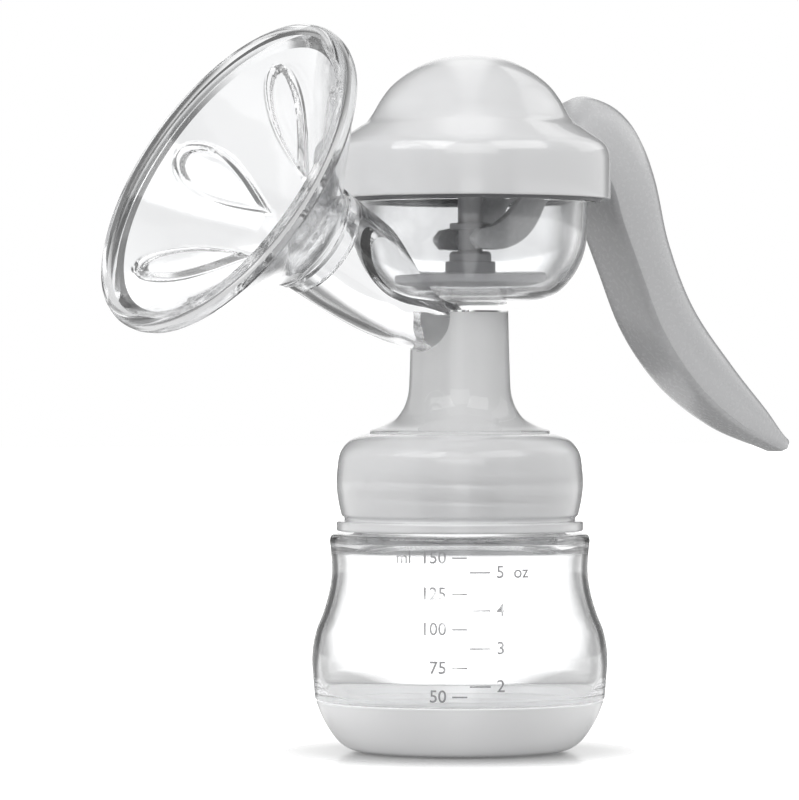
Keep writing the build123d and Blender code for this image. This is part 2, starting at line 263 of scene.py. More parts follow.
class Finish:
    # a material, its shader and the one method that adds nodes
    def __init__(self, name):
        self.material = bpy.data.materials.new(name)
        self.material.use_nodes = True
        self.tree = self.material.node_tree
        self.surface = self.tree.nodes["Principled BSDF"]
        self.place = self.node("ShaderNodeTexCoord", out="Object")

    def node(self, kind, settings=None, inputs=None, out=0):
        made = self.tree.nodes.new(kind)
        for setting, value in (settings or {}).items():
            if setting == "stops":
                ramp = made.color_ramp
                for index, (position, grey) in enumerate(value):
                    stop = ramp.elements[index] if index < 2 else ramp.elements.new(position)
                    stop.position = position
                    stop.color = (grey, grey, grey, 1)
            else:
                setattr(made, setting, value)
        for socket, value in (inputs or {}).items():
            if isinstance(value, Wire):
                self.tree.links.new(value.socket, made.inputs[socket])
            else:
                made.inputs[socket].default_value = value
        return Wire(self, made.outputs[out])

    def math(self, operation, *terms):
        return self.node("ShaderNodeMath", {"operation": operation}, dict(enumerate(terms)))

    def noise(self, scale, detail=2.0, spread=0.5):
        return self.node("ShaderNodeTexNoise", {}, {"Vector": self.place, "Scale": scale, "Detail": detail,
                                                    "Roughness": spread}, "Fac")

    def set(self, **sockets):
        # spaces in a socket's name are written as underscores
        for socket, value in sockets.items():
            target = self.surface.inputs[socket.replace("_", " ")]
            if isinstance(value, Wire):
                self.tree.links.new(value.socket, target)
            else:
                target.default_value = value

    def tint(self, mask, dark, light):
        return self.node("ShaderNodeMix", {"data_type": "RGBA"},
                         {0: mask, 6: (*dark, 1), 7: (*light, 1)}, 2)

    def bump(self, height, strength, depth):
        self.set(Normal=self.node("ShaderNodeBump", {}, {"Height": height, "Strength": strength,
                                                         "Distance": depth}))


def moulded(name, dark, light, gloss, grain, coat=0.0, **constants):
    # opaque or clear moulded finish: faint flow marks in the colour, a grain in the gloss, a soft ripple
    finish = Finish(name)
    flow = finish.noise(45.0, 3.0)
    fine = finish.noise(grain, 2.0)
    finish.set(Base_Color=finish.tint(flow, dark, light), Roughness=gloss + fine * 0.06, **constants)
    if coat:
        finish.set(Coat_Weight=coat, Coat_Roughness=0.06)
    finish.bump(flow * 0.7 + fine * 0.3, 0.05, 0.0002)
    return finish.material


whitePlastic = moulded("white_moulded_plastic", (0.69, 0.693, 0.70), (0.72, 0.723, 0.73),
                       0.14, 900.0, coat=1.0)
greyPlastic = moulded("grey_moulded_plastic", (0.34, 0.34, 0.35), (0.40, 0.40, 0.41), 0.34, 1200.0)
clearPlastic = moulded("clear_moulded_plastic", (0.965, 0.968, 0.972), (0.985, 0.987, 0.99), 0.0, 500.0,
                       Transmission_Weight=1.0, IOR=1.42, Specular_IOR_Level=0.35)
collarPlastic = moulded("translucent_collar_plastic", (0.90, 0.903, 0.91), (0.93, 0.933, 0.94), 0.20, 300.0,
                        coat=1.0, Transmission_Weight=0.45, IOR=1.3)
clearSilicone = moulded("clear_silicone", (0.93, 0.935, 0.94), (0.96, 0.962, 0.965), 0.03, 800.0,
                        Transmission_Weight=1.0, IOR=1.38, Specular_IOR_Level=0.4)
whiteSilicone = moulded("frosted_silicone", (0.92, 0.922, 0.925), (0.95, 0.952, 0.955), 0.5, 600.0,
                        Transmission_Weight=0.1, IOR=1.3)
frostedPlastic = moulded("frosted_bore", (0.71, 0.712, 0.715), (0.74, 0.742, 0.745), 0.5, 500.0)
frostedFoot = moulded("frosted_foot", (0.92, 0.922, 0.925), (0.95, 0.952, 0.955), 0.5, 500.0)
# darker than the grey mechanism plastic: a painted shade for the dark line under the cap's rim
ringPaintedShadePlastic = moulded("ring_plastic_painted_shade", (0.20, 0.20, 0.21), (0.26, 0.26, 0.27), 0.3, 900.0)
basePlastic = moulded("base_moulded_plastic", (0.92, 0.923, 0.93), (0.95, 0.952, 0.955),
                       0.2, 900.0, coat=0.5)
# the handle is white plastic, painted darker grey here: a painted shade for its shaded sides and hook cheeks
handlePaintedShadePlastic = moulded("handle_plastic_painted_shade", (0.51, 0.513, 0.52), (0.54, 0.543, 0.55),
                         0.24, 900.0, coat=0.35)
pinSteel = moulded("drawn_steel", (0.60, 0.60, 0.62), (0.70, 0.70, 0.72), 0.22, 2500.0, Metallic=1.0)


def printInk():
    # worn scale print: thin grey ink, rubbed away in patches
    ink = Finish("worn_scale_print")
    patches = ink.noise(190.0, 3.0, 0.6)
    wear = ink.node("ShaderNodeValToRGB", {"stops": [(0.36, 0.12), (0.54, 0.85)]}, {0: patches})
    grey = ink.tint(patches, (0.30, 0.30, 0.31), (0.42, 0.42, 0.43))
    ink.set(Base_Color=grey, Roughness=0.55, Alpha=wear)
    return ink.material


scaleInk = printInk()
print("finishes made")


def paintPart(piece, material, wanted):
    # a second finish on the faces whose centre, as (radius, height) about Z in mm, is wanted
    piece.data.materials.append(material)
    for face in piece.data.polygons:
        x, y, z = face.center / mm
        if wanted(hypot(x, y), z):
            face.material_index = len(piece.data.materials) - 1


def dress(piece, material, body, slot, *replaced):
    # gives a finished piece its material, its body, and the CAD nodes that it stands for
    piece.data.materials.clear()
    piece.data.materials.append(material)
    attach(piece, body)
    if replaced:
        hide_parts(*replaced)
    if material in (clearPlastic, clearSilicone):
        piece.visible_shadow = False  # light reaches what stands behind clear walls


# ---- Geometry Nodes trees

def newTree(name, sizes):
    # an empty tree with a Geometry socket each side and a named input for each size
    tree = bpy.data.node_groups.new(name, "GeometryNodeTree")
    tree.interface.new_socket("Geometry", in_out="INPUT", socket_type="NodeSocketGeometry")
    tree.interface.new_socket("Geometry", in_out="OUTPUT", socket_type="NodeSocketGeometry")
    for size in sizes:
        tree.interface.new_socket(size, in_out="INPUT", socket_type="NodeSocketFloat")
    tree.interface.new_socket("Material", in_out="INPUT", socket_type="NodeSocketMaterial")
    return tree, tree.nodes.new("NodeGroupInput"), tree.nodes.new("NodeGroupOutput")


def addNode(tree, kind, links=None, values=None, **settings):
    made = tree.nodes.new(kind)
    for setting, value in settings.items():
        setattr(made, setting, value)
    for socket, source in (links or {}).items():
        tree.links.new(source, made.inputs[socket])
    for socket, value in (values or {}).items():
        made.inputs[socket].default_value = value
    return made


def endTree(tree, source, given, result):
    real = addNode(tree, "GeometryNodeRealizeInstances", {"Geometry": source})
    coloured = addNode(tree, "GeometryNodeSetMaterial", {"Geometry": real.outputs["Geometry"],
                                                         "Material": given.outputs["Material"]})
    tree.links.new(coloured.outputs["Geometry"], result.inputs["Geometry"])
    return tree


def grown(name, tree, values, points=()):
    # runs a tree on a mesh of loose points and keeps the plain mesh that it makes
    mesh = bpy.data.meshes.new(name)
    mesh.from_pydata([tuple(point) for point in points], [], [])
    piece = bpy.data.objects.new(name, mesh)
    bpy.context.scene.collection.objects.link(piece)
    step = piece.modifiers.new("grow", "NODES")
    step.node_group = tree
    inputs = [item for item in tree.interface.items_tree if item.in_out == "INPUT"]
    identifiers = {item.name: item.identifier for item in inputs}
    for size, value in values.items():
        step[identifiers[size]] = value
    return applied(piece)


def threadTree():
    # a screw thread: a helix swept with a round section
    tree, given, result = newTree("screw thread", ["Radius", "Turns", "Rise", "Ridge", "Start"])
    helix = addNode(tree, "GeometryNodeCurveSpiral",
                    {"Rotations": given.outputs["Turns"], "Start Radius": given.outputs["Radius"],
                     "End Radius": given.outputs["Radius"], "Height": given.outputs["Rise"]},
                    {"Resolution": 96})
    section = addNode(tree, "GeometryNodeCurvePrimitiveCircle", {"Radius": given.outputs["Ridge"]},
                      {"Resolution": 10})
    sweep = addNode(tree, "GeometryNodeCurveToMesh", {"Curve": helix.outputs["Curve"],
                                                      "Profile Curve": section.outputs["Curve"]},
                    {"Fill Caps": True})
    lift = addNode(tree, "ShaderNodeCombineXYZ", {"Z": given.outputs["Start"]})
    moved = addNode(tree, "GeometryNodeTransform", {"Geometry": sweep.outputs["Mesh"],
                                                    "Translation": lift.outputs["Vector"]})
    return endTree(tree, moved.outputs["Geometry"], given, result)


def tickTree():
    # a fine bar on every point of the mesh
    tree, given, result = newTree("scale ticks", ["Length", "Height", "Depth"])
    size = addNode(tree, "ShaderNodeCombineXYZ", {"X": given.outputs["Length"], "Y": given.outputs["Depth"],
                                                  "Z": given.outputs["Height"]})
    bar = addNode(tree, "GeometryNodeMeshCube", {"Size": size.outputs["Vector"]},
                  {"Vertices X": 8, "Vertices Y": 2, "Vertices Z": 2})
    points = addNode(tree, "GeometryNodeMeshToPoints", {"Mesh": given.outputs["Geometry"]})
    bars = addNode(tree, "GeometryNodeInstanceOnPoints", {"Points": points.outputs["Points"],
                                                          "Instance": bar.outputs["Mesh"]})
    return endTree(tree, bars.outputs["Instances"], given, result)


threads = threadTree()
ticks = tickTree()


def threadRidge(name, radius, sizes, material):
    # the round ridge of a screw thread, from a piece's own sizes
    ridge = grown(name, threads, {
        "Radius": radius * mm, "Turns": sizes["threadTurns"],
        "Rise": sizes["threadTurns"] * sizes["threadPitch"] * mm, "Ridge": sizes["threadRidge"] * mm,
        "Start": sizes["threadStart"] * mm, "Material": material})
    ridge.data.shade_smooth()
    return ridge


# ---- bottle

bottle = dict(
    outside=[(34.6, 12.4), (35.0, 17.0), (35.3, 22.5), (34.5, 28.1), (32.6, 33.2), (31.2, 38.2),
             (30.6, 43.0), (30.8, 47.4), (31.1, 50.2)],
    shoulder=[(30.9, 51.2), (30.4, 51.7), (29.8, 51.8), (25.4, 51.8)],
    neck=24.6, neckRoot=52.6, opening=22.8, rim=69.5, throat=[(22.8, 51.4), (24.0, 50.0), (28.2, 50.0)],
    heel=(33.0, 14.2), spigot=[(32.5, 13.1), (27.4, 12.7), (27.4, 8.1), (29.6, 8.1), (29.6, 12.4)],
    wall=1.4, corner=0.5, frostTop=13.6, frostRadius=32.9, steps=224,
    threadStart=57.6, threadPitch=4.0, threadTurns=1.75, threadRidge=0.9,
)
bottleLine = smooth(bottle["outside"])
innerLine = smooth(inset(bottle["outside"], bottle["wall"])[1:-1])


def makeBottle():
    neck, opening, rim = bottle["neck"], bottle["opening"], bottle["rim"]
    loop = bottleLine + bottle["shoulder"] + [(neck, bottle["neckRoot"]), (neck, rim), (opening, rim)]
    loop += bottle["throat"] + list(reversed(innerLine)) + [bottle["heel"]] + bottle["spigot"]
    shell = turned("bottle_shell", rounded(loop, bottle["corner"]), steps=bottle["steps"])
    dress(shell, clearPlastic, "bottle_set", "clear_plastic", "bottle")
    paintPart(shell, frostedFoot,
              lambda radius, height: height < bottle["frostTop"] and radius < bottle["frostRadius"])
    ridge = threadRidge("bottle_thread", neck, bottle, clearPlastic)
    dress(ridge, clearPlastic, "bottle_set", "clear_plastic")


makeBottle()
print("bottle made")

# ---- worn scale print, wrapped on the bottle on the side that faces the camera

scalePrint = dict(
    azimuth=-35.0, lift=0.06, inkDepth=0.05, tickHeight=0.34,
    millilitres=[("ml  150", 46.9), ("125", 38.5), ("100", 30.4), ("75", 21.5), ("50", 14.8)],
    ounces=[("5  oz", 43.5), ("4", 34.7), ("3", 26.0), ("2", 17.2)],
    leftTick=(-2.2, 1.3), rightTick=(1.9, 6.8), leftText=-3.5, rightText=8.2, letter=4.1, weight=0.03,
    weld=1e-7,
)
printTurn = radians(-90 + scalePrint["azimuth"])
heightFirst = [(height, radius) for radius, height in bottleLine]


def wrapped(piece):
    # a flat print of x across and z up, in mm, is laid round the bottle's side
    for vertex in piece.data.vertices:
        across, out, height = vertex.co
        radius = widthAt(heightFirst, height) + scalePrint["lift"] + out
        angle = printTurn + across / radius
        vertex.co = Vector((radius * cos(angle), radius * sin(angle), height)) * mm
    return piece


def letterPiece(text, column, height):
    # flat letters that stand upright at their height, in mm
    curve = bpy.data.curves.new("letters", "FONT")
    curve.body = text
    curve.size = scalePrint["letter"]
    curve.extrude = scalePrint["inkDepth"] / 2
    curve.offset = scalePrint["weight"]
    curve.resolution_u = 4
    curve.align_x = "RIGHT" if column == "left" else "LEFT"
    curve.align_y = "CENTER"
    letters = bpy.data.objects.new("letters", curve)
    bpy.context.scene.collection.objects.link(letters)
    bpy.context.view_layer.update()
    evaluated = letters.evaluated_get(bpy.context.evaluated_depsgraph_get())
    mesh = bpy.data.meshes.new_from_object(evaluated)
    bpy.data.objects.remove(letters)
    start = scalePrint["leftText"] if column == "left" else scalePrint["rightText"]
    mesh.transform(Matrix.Translation((start, 0, height)) @ Matrix.Rotation(radians(90), 4, "X"))
    piece = bpy.data.objects.new("letters", mesh)
    bpy.context.scene.collection.objects.link(piece)
    return piece


def makePrint():
    pieces = []
    for column, (left, right), rows in (
        ("left", scalePrint["leftTick"], scalePrint["millilitres"]),
        ("right", scalePrint["rightTick"], scalePrint["ounces"]),
    ):
        points = [((left + right) / 2, 0, height) for text, height in rows]
        bars = grown(f"scale_ticks_{column}", ticks, {
            "Length": right - left, "Height": scalePrint["tickHeight"],
            "Depth": scalePrint["inkDepth"], "Material": scaleInk}, points)
        pieces.append(wrapped(bars))
        for text, height in rows:
            pieces.append(wrapped(letterPiece(text, column, height)))
    shape = bmesh.new()
    for piece in pieces:
        shape.from_mesh(piece.data)
        bpy.data.objects.remove(piece)
    bmesh.ops.remove_doubles(shape, verts=shape.verts, dist=scalePrint["weld"])
    mesh = bpy.data.meshes.new("bottle_scale")
    shape.to_mesh(mesh)
    shape.free()
    scale = bpy.data.objects.new("bottle_scale", mesh)
    bpy.context.scene.collection.objects.link(scale)
    dress(scale, scaleInk, "bottle_set", "grey_plastic")


makePrint()
print("scale print made")

# ---- white base

base = dict(
    outside=[(24.5, 0), (27.2, 0.9), (29.6, 2.9), (31.6, 5.7), (33.1, 8.6), (34.4, 12.0)],
    ledge=[(30.6, 12.0), (30.6, 6.6), (27.5, 6.6), (26.4, 2.4), (0, 2.4)],
    foot=[(0, 0), (6.0, 0), (6.5, 0.9), (21.5, 0.9), (22.0, 0)], corner=0.4, steps=224,
    holes=8, holeCircle=12.0, hole=(0.8, -1.0, 4.0), holeSteps=24,  # a hole as radius, low, high
)


def makeBase():
    loop = smooth(base["outside"]) + base["ledge"] + base["foot"]
    cup = turned("base_cup", rounded(loop, base["corner"]), steps=base["steps"])
    holes = []
    for i in range(base["holes"]):
        angle = 2 * pi * i / base["holes"]
        place = Matrix.Translation(Vector((cos(angle), sin(angle), 0)) * base["holeCircle"] * mm)
        holes.append(rod("hole", *base["hole"], place, base["holeSteps"]))
    combine(cup, holes, "DIFFERENCE")
    dress(cup, basePlastic, "bottle_set", "white_plastic", "bottle_base")


makeBase()

# ---- screw collar

collar = dict(
    outside=[(28.3, 56.2), (29.05, 59.6), (29.5, 63.4), (29.3, 67.3), (28.6, 71.2), (26.7, 73.8),
             (24.6, 75.0), (22.3, 75.7)],
    roof=[(21.9, 75.4), (21.9, 73.4), (25.6, 73.4), (26.4, 72.4), (26.4, 52.4)], bore=26.4, steps=224,
    lip=[(29.2, 52.4), (29.5, 52.7), (29.5, 54.5), (29.2, 54.8), (27.6, 54.9), (27.6, 55.6)],
    threadStart=59.6, threadTurns=1.5, threadPitch=4.0, threadRidge=0.9, corner=0.35,
)


def makeCollar():
    loop = smooth(collar["outside"]) + collar["roof"] + collar["lip"]
    ring = turned("collar_ring", rounded(loop, collar["corner"]), steps=collar["steps"])
    dress(ring, collarPlastic, "collar", "collar_plastic", "screw_collar")
    ridge = threadRidge("collar_thread", collar["bore"], collar, collarPlastic)
    dress(ridge, collarPlastic, "collar", "collar_plastic")


makeCollar()
print("base and collar made")

# ---- clear pump body

body = dict(
    neck=[(21.7, 76.3), (18.3, 77.6), (15.2, 79.4), (13.6, 81.5), (12.7, 83.6), (12.2, 86.0), (12.0, 90.0),
          (11.8, 96.0), (11.6, 105.0)],
    foot=[(0, 105.0), (0, 71.4), (22.3, 71.4), (22.6, 71.8), (22.6, 72.6), (21.5, 73.2), (21.5, 76.1)],
    bowl=[(0, 106.0), (8.1, 106.1), (12.6, 106.6), (16.1, 107.2), (18.9, 108.2), (21.1, 109.5), (23.6, 112.0),
          (25.8, 115.3), (27.3, 119.3), (28.0, 124.0), (28.25, 130.7)],
    flange=[(30.2, 130.7), (30.2, 131.6), (0, 131.6)], bowlOpen=132.5,
    tunnel=[(6.6, 5.0), (8.2, 11.5), (10.1, 18.0), (11.5, 25.0), (12.2, 31.0), (12.8, 40.0), (13.2, 50.0)],
    funnel=[(13.2, 49.5), (14.2, 52.5), (17.4, 56.0), (23.2, 60.8), (30.0, 66.2), (35.8, 71.4), (39.6, 75.0)],
    funnelCore=[(0, 74.4), (0, 49.5)], mouthRadius=42.0, mouthDepth=3.0,
    passage=[(4.2, 2.0), (4.9, 8.0), (6.6, 14.0), (8.4, 20.0), (9.7, 27.0), (10.4, 35.0), (10.8, 45.5)],
    outlet=[(0, 71.0), (19.6, 71.0), (19.6, 75.4), (15.9, 77.0), (12.6, 79.0), (11.0, 81.4), (10.0, 84.0),
            (10.0, 89.5), (0, 89.5)],
    bowlWall=1.5, funnelWall=1.8, steps=160,
    bore=(9.4, 89.0, 104.6), port=(1.6, 101.0, 110.0), sleeve=(11.2, 45.4, 52.0),  # radius, low, high
    flare=[(71.0, 20.6), (75.4, 20.6), (77.0, 17.8), (79.0, 14.0), (81.4, 12.3), (84.0, 11.3), (89.4, 11.3),
           (89.6, 9.45), (102.0, 9.45)],
)
funnelInside = inset(body["funnel"], body["funnelWall"])


def makePumpBody():
    steps = body["steps"]
    neck = turned("pump_housing", smooth(body["neck"]) + body["foot"], upright, steps)
    bowl = turned("bowl", smooth(body["bowl"]) + body["flange"], bowlPlace, steps)
    tunnel = turned("tunnel", closed(smooth(body["tunnel"])), tunnelPlace, steps)
    funnel = turned("funnel", smooth(body["funnel"]) + body["funnelCore"], funnelPlace, steps)
    combine(neck, [bowl, tunnel, funnel], "UNION")
    inside = inset(body["bowl"], body["bowlWall"])
    bowlInside = smooth(inside) + [(inside[-1][0], body["bowlOpen"]), (0, body["bowlOpen"])]
    mouth = funnelInside[-1][1] + body["mouthDepth"]
    funnelHollow = smooth(funnelInside) + [(body["mouthRadius"], mouth), (0, mouth), (0, funnelInside[0][1])]
    hollow = [
        turned("bowlInside", bowlInside, bowlPlace, steps),
        turned("outlet", body["outlet"], upright, steps),
        rod("bore", *body["bore"], upright, 96),
        turned("passage", closed(smooth(body["passage"])), tunnelPlace, steps),
        rod("sleeve", *body["sleeve"], funnelPlace, steps),
        turned("funnelInside", funnelHollow, funnelPlace, steps),
        rod("port", *body["port"], upright, 32),
    ]
    combine(neck, hollow, "DIFFERENCE")
    dress(neck, clearPlastic, "head", "clear_plastic", "pump_body")
    frostTop = body["bore"][2] + 0.1
    paintPart(neck, frostedPlastic,
              lambda radius, height: height < frostTop and radius < widthAt(body["flare"], height))


makePumpBody()
print("pump body made")

# ---- silicone cushion with raised petals and a rolled rim

cushion = dict(
    wall=1.8, gap=0.3, bore=9.4, boreFrom=51.0, tube=11.05, tubeFrom=50.0, tubeEnd=45.7, steps=416,
    rim=[(38.8, 77.0), (40.1, 76.6), (40.1, 74.8), (40.8, 74.8), (41.35, 76.0), (41.45, 77.3), (41.0, 78.5),
         (40.1, 79.1), (39.0, 79.2)],
    petals=6, phase=13.0, petalIn=13.0, petalOut=33.5, petalWidth=7.4, petalTaper=0.55, petalRaise=1.15,
    petalEdge=0.9, endSlope=2.0, groove=0.3, grooveAt=0.5, grooveHalf=0.8, backShare=0.85,
)


def petalHeight(radius, angle):
    # how far a petal stands out here: a flat-topped teardrop with a soft step and a groove round it
    along = (radius - cushion["petalIn"]) / (cushion["petalOut"] - cushion["petalIn"])
    if not -0.1 < along < 1.08:
        return 0.0
    turn = 2 * pi / cushion["petals"]
    centre = radians(cushion["phase"])
    across = radius * ((angle - centre + turn / 2) % turn - turn / 2)
    inside = min(max(along, 0.0), 1.0)
    half = cushion["petalWidth"] * 2 * (inside * (1 - inside))**0.5 * inside**cushion["petalTaper"]
    ends = min(along, 1 - along) * (cushion["petalOut"] - cushion["petalIn"])
    depth = min(half - abs(across), ends * cushion["endSlope"])
    step = min(max(depth / cushion["petalEdge"], 0.0), 1.0)
    rise = step * step * (3 - 2 * step) * cushion["petalRaise"]
    groove = max(0.0, 1 - abs(depth + cushion["grooveAt"]) / cushion["grooveHalf"]) * cushion["groove"]
    return rise - groove


def makeCushion():
    tube, bore, gap = cushion["tube"], cushion["bore"], cushion["gap"]
    back = smooth([(tube, cushion["tubeFrom"])] + inset(funnelInside[1:], gap), 10)
    front = smooth([(bore, cushion["boreFrom"])] + inset(funnelInside[1:], gap + cushion["wall"]), 16)
    tail = [(bore, cushion["tubeEnd"]), (tube, cushion["tubeEnd"])]
    loop = back + cushion["rim"] + list(reversed(front)) + tail
    frontStart = len(back) + len(cushion["rim"])
    frontEnd = frontStart + len(front)

    def petalled(index, radius, height, angle):
        # the loop moved out along its own normal where a petal stands
        onFront = frontStart <= index < frontEnd
        onBack = index < len(back)
        if not (onFront or onBack):
            return radius, height
        near = loop[index - 1], loop[(index + 1) % len(loop)]
        run = Vector((near[1][0] - near[0][0], near[1][1] - near[0][1])).normalized()
        side = Vector((-run.y, run.x)) * (1 if onBack else -1)
        if side.y < 0:
            side = -side
        lift = petalHeight(radius, angle) * (1.0 if onFront else cushion["backShare"])
        lift = max(lift, 0.0) if onBack else lift
        return radius + side.x * lift, height + side.y * lift

    flower = turned("petal_cushion", loop, funnelPlace, cushion["steps"], petalled, sharp=50)
    dress(flower, clearSilicone, "cushion", "clear_silicone", "massage_cushion")


makeCushion()
print("cushion made")

# ---- diaphragm, plate and stem

drive = dict(
    gap=0.3, skin=1.0, bead=30.0, beadLow=131.65, beadHigh=133.2, squashKeep=0.5,
    plate=[(0, 110.2), (14.2, 110.2), (18.2, 112.1), (18.2, 114.0), (6.0, 114.0), (6.0, 116.7), (5.05, 116.7),
           (5.05, 114.0), (0, 114.0)],
    stem=[(0, 114.02), (4.6, 114.02), (5.0, 114.8), (5.0, 118.6), (4.4, 119.2), (2.9, 119.2), (2.9, 124.4),
          (4.95, 124.4), (4.95, 126.0), (3.0, 126.0), (3.0, 149.4), (2.4, 150.0), (0, 150.0)],
)


def makeDrive():
    outer = inset(body["bowl"], body["bowlWall"] + drive["gap"])
    inner = inset(body["bowl"], body["bowlWall"] + drive["gap"] + drive["skin"])
    loop = smooth(outer) + [(outer[-1][0], drive["beadLow"]), (drive["bead"], drive["beadLow"]),
                            (drive["bead"], drive["beadHigh"]), (inner[-1][0], drive["beadHigh"])]
    loop += list(reversed(smooth(inner)))
    skin = turned("diaphragm_skin", rounded(loop, 0.3), bowlPlace, 192)
    dress(skin, clearSilicone, "head", "clear_silicone", "diaphragm")
    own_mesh(skin)
    disc = turned("lift_plate", rounded(drive["plate"], 0.5), bowlPlace, 160)
    dress(disc, greyPlastic, "plunger", "grey_plastic", "piston_plate")
    rod = turned("lift_stem", rounded(drive["stem"], 0.4), bowlPlace, 96)
    dress(rod, greyPlastic, "plunger", "grey_plastic", "pump_stem")


makeDrive()
print("drive made")

# ---- ring that clamps the diaphragm and carries the lever's ears

clamp = dict(
    outline=[(30.25, 131.0), (31.1, 131.0), (31.1, 134.9), (26.7, 134.9), (26.7, 133.3), (30.25, 133.3)],
    pivot=(29.8, 137.5), earInner=9.1, earOuter=11.4, earRadius=3.0, earFoot=133.6,
    footBack=1.9, footFront=2.7, gapLow=133.31, gapHigh=136.31, gapHalf=8.0, pinRadius=1.5, pinReach=10.0,
)


def makeClamp():
    x, inner, outer = clamp["pivot"][0], clamp["earInner"], clamp["earOuter"]
    ring = turned("clamp_ring", clamp["outline"], bowlPlace, 192)
    foot = [(x - clamp["footBack"], clamp["earFoot"]), (x + clamp["footFront"], clamp["earFoot"])]
    ears = [roundPlate("ear", clamp["pivot"], clamp["earRadius"], low, high, 0.3, foot)
            for low, high in ((inner, outer), (-outer, -inner))]
    left, right, low, high = x - clamp["gapHalf"], x + clamp["gapHalf"], clamp["gapLow"], clamp["gapHigh"]
    gap = plate("gap", [(left, low), (right, low), (right, high), (left, high)], -inner, inner, 0.0)
    combine(ring, [gap], "DIFFERENCE")
    combine(ring, ears, "UNION")
    reach = clamp["pinReach"]
    pinHole = roundPlate("pinHole", clamp["pivot"], clamp["pinRadius"], -reach, reach)
    combine(ring, [pinHole], "DIFFERENCE")
    dress(ring, ringPaintedShadePlastic, "head", "grey_plastic", "retaining_ring")


makeClamp()
print("clamp ring made")

# ---- dome cap

cap = dict(
    radius=33.6, bottom=131.6, wall=1.8, slotHalf=9.4, slotTop=157.0, slotFrom=11.8, slotCorner=3.0,
    steps=224,
    outside=[(33.6, 141.0), (33.5, 142.1), (33.2, 143.4), (32.55, 144.7), (31.2, 146.0), (27.4, 148.7),
             (24.9, 150.4), (23.4, 152.3), (21.5, 155.5), (19.2, 158.6), (16.1, 161.3), (12.4, 163.6),
             (8.1, 165.3), (0, 166.4)],
    guide=[(3.08, 139.0), (4.5, 139.0), (4.5, 164.9), (3.08, 164.9)],
    ledge=[(30.0, 135.1), (32.4, 135.1), (32.4, 136.9), (31.2, 136.9)],
)


def makeCap():
    bottom, radius = cap["bottom"], cap["radius"]
    inside = inset(cap["outside"], cap["wall"])
    loop = [(radius - cap["wall"], bottom), (radius, bottom)] + smooth(cap["outside"])
    loop += list(reversed(smooth(inside)))
    dome = turned("cap_dome", rounded(loop, 0.5), bowlPlace, cap["steps"])
    ledge = turned("ledge", cap["ledge"], bowlPlace, cap["steps"])
    guide = turned("guide", cap["guide"], bowlPlace, 96)
    combine(dome, [ledge, guide], "UNION")
    half, top, corner = cap["slotHalf"], cap["slotTop"], cap["slotCorner"]
    gate = [(-half, bottom - 2), (half, bottom - 2)]
    for side in (1, -1):  # up the right side, then down the left
        for step in range(9):
            angle = pi / 2 * step / 8 if side > 0 else pi / 2 + pi / 2 * step / 8
            gate.append((side * (half - corner) + corner * cos(angle), top - corner + corner * sin(angle)))
    cutter = plate("gate", gate, 0.0, 30.0, 0.0)
    outward = Matrix.Rotation(radians(-90), 4, "Z")
    cutter.data.transform(Matrix.Translation((cap["slotFrom"] * mm, 0, 0)) @ outward)
    combine(dome, [cutter], "DIFFERENCE")
    dress(dome, whitePlastic, "cap", "white_plastic", "dome_cap")


makeCap()
print("cap made")

# ---- squeeze handle: a lofted grip with a rounded back, two hook cheeks and their pads

handle = dict(
    back=[(24.8, 147.0), (28.6, 153.8), (36.0, 157.6), (44.6, 155.7), (51.8, 149.6), (56.8, 139.0),
          (61.2, 122.8), (68.6, 107.4), (81.2, 92.8), (92.9, 81.2), (98.6, 75.0)],
    front=[(23.2, 133.7), (27.0, 134.2), (31.6, 134.3), (36.6, 137.0), (39.2, 134.0), (41.8, 126.4),
           (46.2, 116.5), (54.6, 99.4), (66.2, 86.2), (81.1, 76.6), (97.2, 70.8)],
    half=[8.8, 8.8, 8.8, 8.8, 8.8, 8.8, 8.8, 8.7, 8.3, 7.0, 4.6], frontDepth=2.2,
    backDepth=[5.0, 10.0, 15.0, 15.0, 13.0, 11.0, 9.5, 9.0, 8.5, 6.5, 2.4],
    tip=(100.2, 72.6), cheekInner=6.3, cheekOuter=8.8, pad=(5.3, 122.0), padRadius=2.25,
    padInner=3.2, padSunk=0.5, bridge=[(24.5, 134.2), (30.0, 140.0)], spans=8,
    tipRings=[(0.85, 0.4), (0.55, 0.75), (0.2, 0.95)],  # size of each last ring, and its way to the tip
    lower=[(-0.2, 119.7), (4.0, 119.5), (8.2, 120.1), (12.4, 121.9), (16.2, 125.4), (19.6, 131.0)],
    upper=[(24.8, 147.0), (19.0, 141.0), (14.0, 134.6), (9.0, 128.8), (4.4, 125.6), (-0.2, 124.5)],
    nose=(-1.9, 122.1),
)


def gripSection(front, back, half, depth, count=10):
    # one slice of the grip: flat sides, a deep rounded back and a lightly rounded front
    span = Vector((back[0] - front[0], back[1] - front[1]))
    length = span.length
    out = span / length
    deep = min(depth, length * 0.7)
    shallow = min(handle["frontDepth"], length * 0.3)
    points = []
    for step in range(count + 1):
        angle = pi * step / count
        reach = length - deep + deep * sin(angle)
        points.append((front[0] + out.x * reach, half * cos(angle), front[1] + out.y * reach))
    for step in range(count + 1):
        angle = pi * step / count
        reach = shallow - shallow * sin(angle)**0.8
        edge = half * (abs(cos(angle))**0.55) * (1 if cos(angle) > 0 else -1)
        points.append((front[0] + out.x * reach, -edge, front[1] + out.y * reach))
    return points


